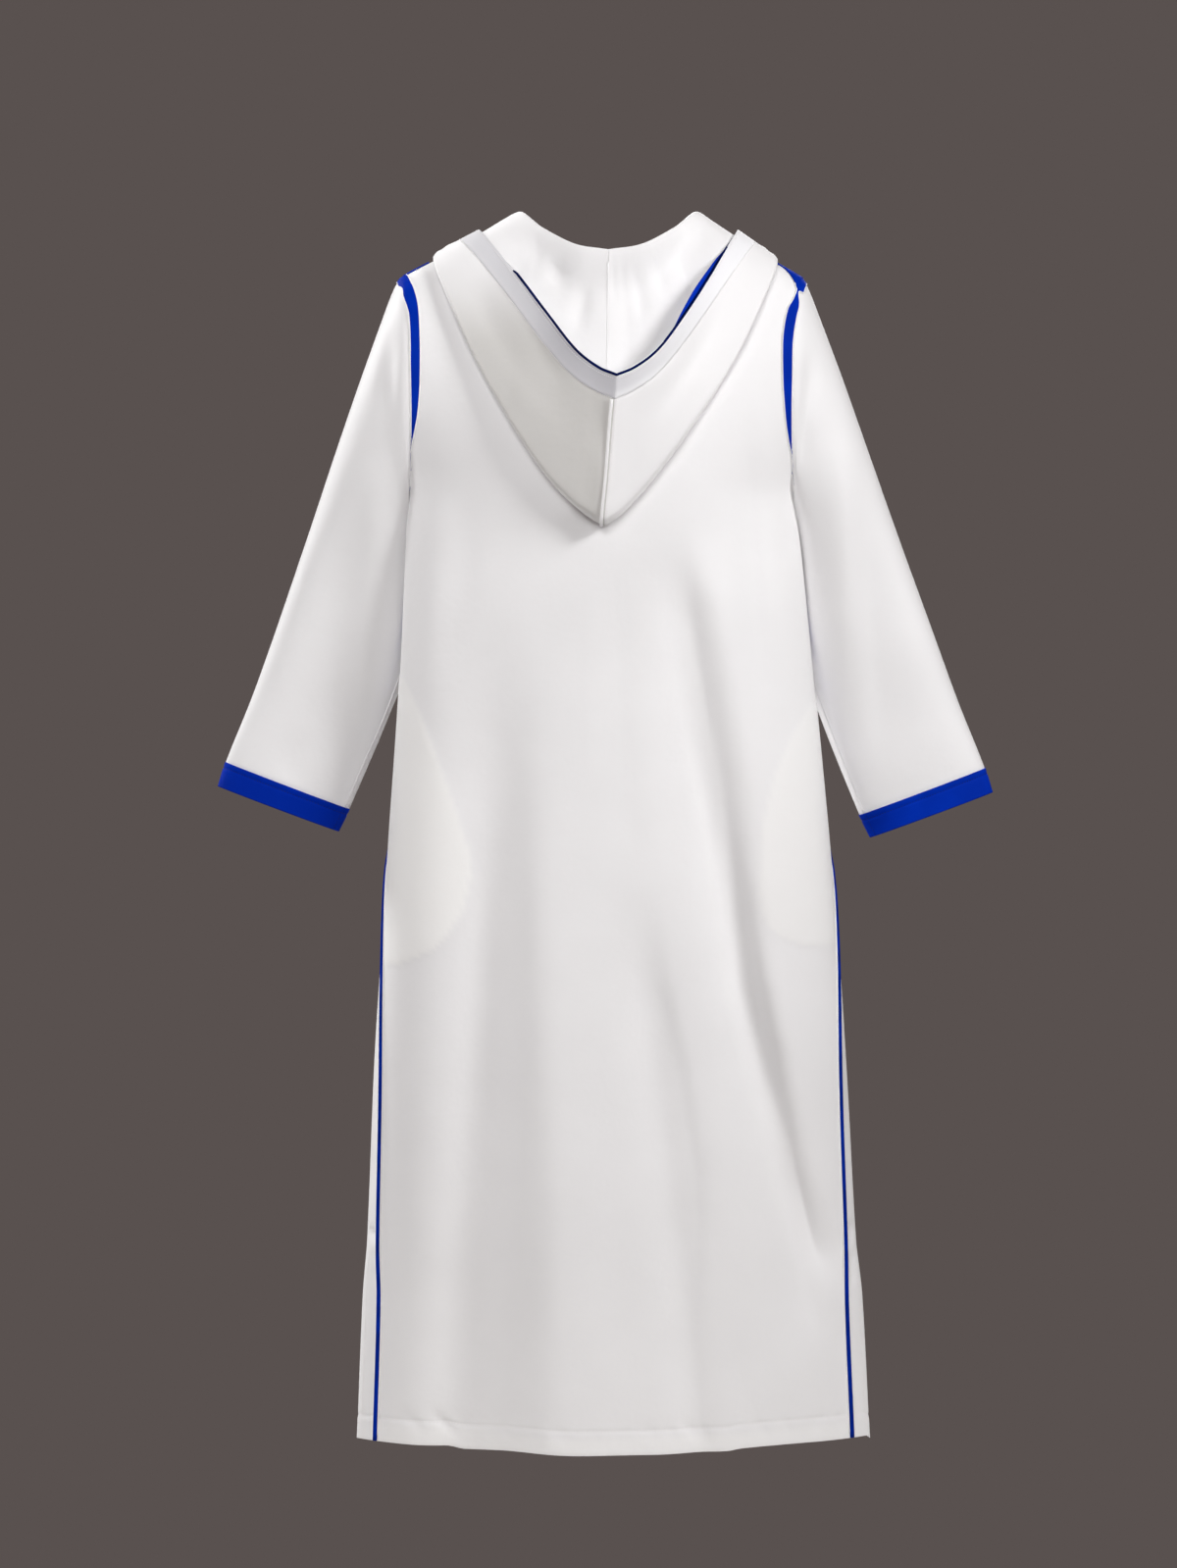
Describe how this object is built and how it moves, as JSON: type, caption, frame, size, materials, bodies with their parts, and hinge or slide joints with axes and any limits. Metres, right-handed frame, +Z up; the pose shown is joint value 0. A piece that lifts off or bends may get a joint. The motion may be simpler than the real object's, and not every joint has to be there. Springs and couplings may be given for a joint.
{
  "type": "hooded djellaba robe",
  "caption": "Long loose hooded robe with long sleeves, side slits, a pointed hood lying on the back, and narrow contrasting trim at cuffs, armholes, hood and sides.",
  "frame": {"origin": "middle of the neck's base, level with the points where the neck meets the shoulder seams", "axes": "+Z up, +Y towards the wearer's front, so the back faces -Y, and +X towards the wearer's right"},
  "size_m": [0.8954, 0.2703, 1.3996],
  "materials": {
    "cloth": "white polyester satin-weave cloth with a soft sheen",
    "trim": "royal blue woven trim and piping"
  },
  "bodies": {
    "root": {"back_panel": "cloth", "front_panel": "cloth", "sleeve_left": "cloth", "sleeve_right": "cloth", "side_gore_left": "cloth", "side_gore_right": "cloth", "hood_left": "cloth", "hood_right": "cloth", "hood_band_left": "cloth", "hood_band_right": "cloth", "pocket_bag_left": "cloth", "pocket_bag_right": "cloth", "armhole_band_left": "trim", "armhole_band_right": "trim", "cuff_left": "trim", "cuff_right": "trim", "shoulder_strip_left": "trim", "shoulder_strip_right": "trim", "hood_piping_left": "trim", "hood_piping_right": "trim", "side_piping_left": "trim", "side_piping_right": "trim"}
  },
  "joints": []
}
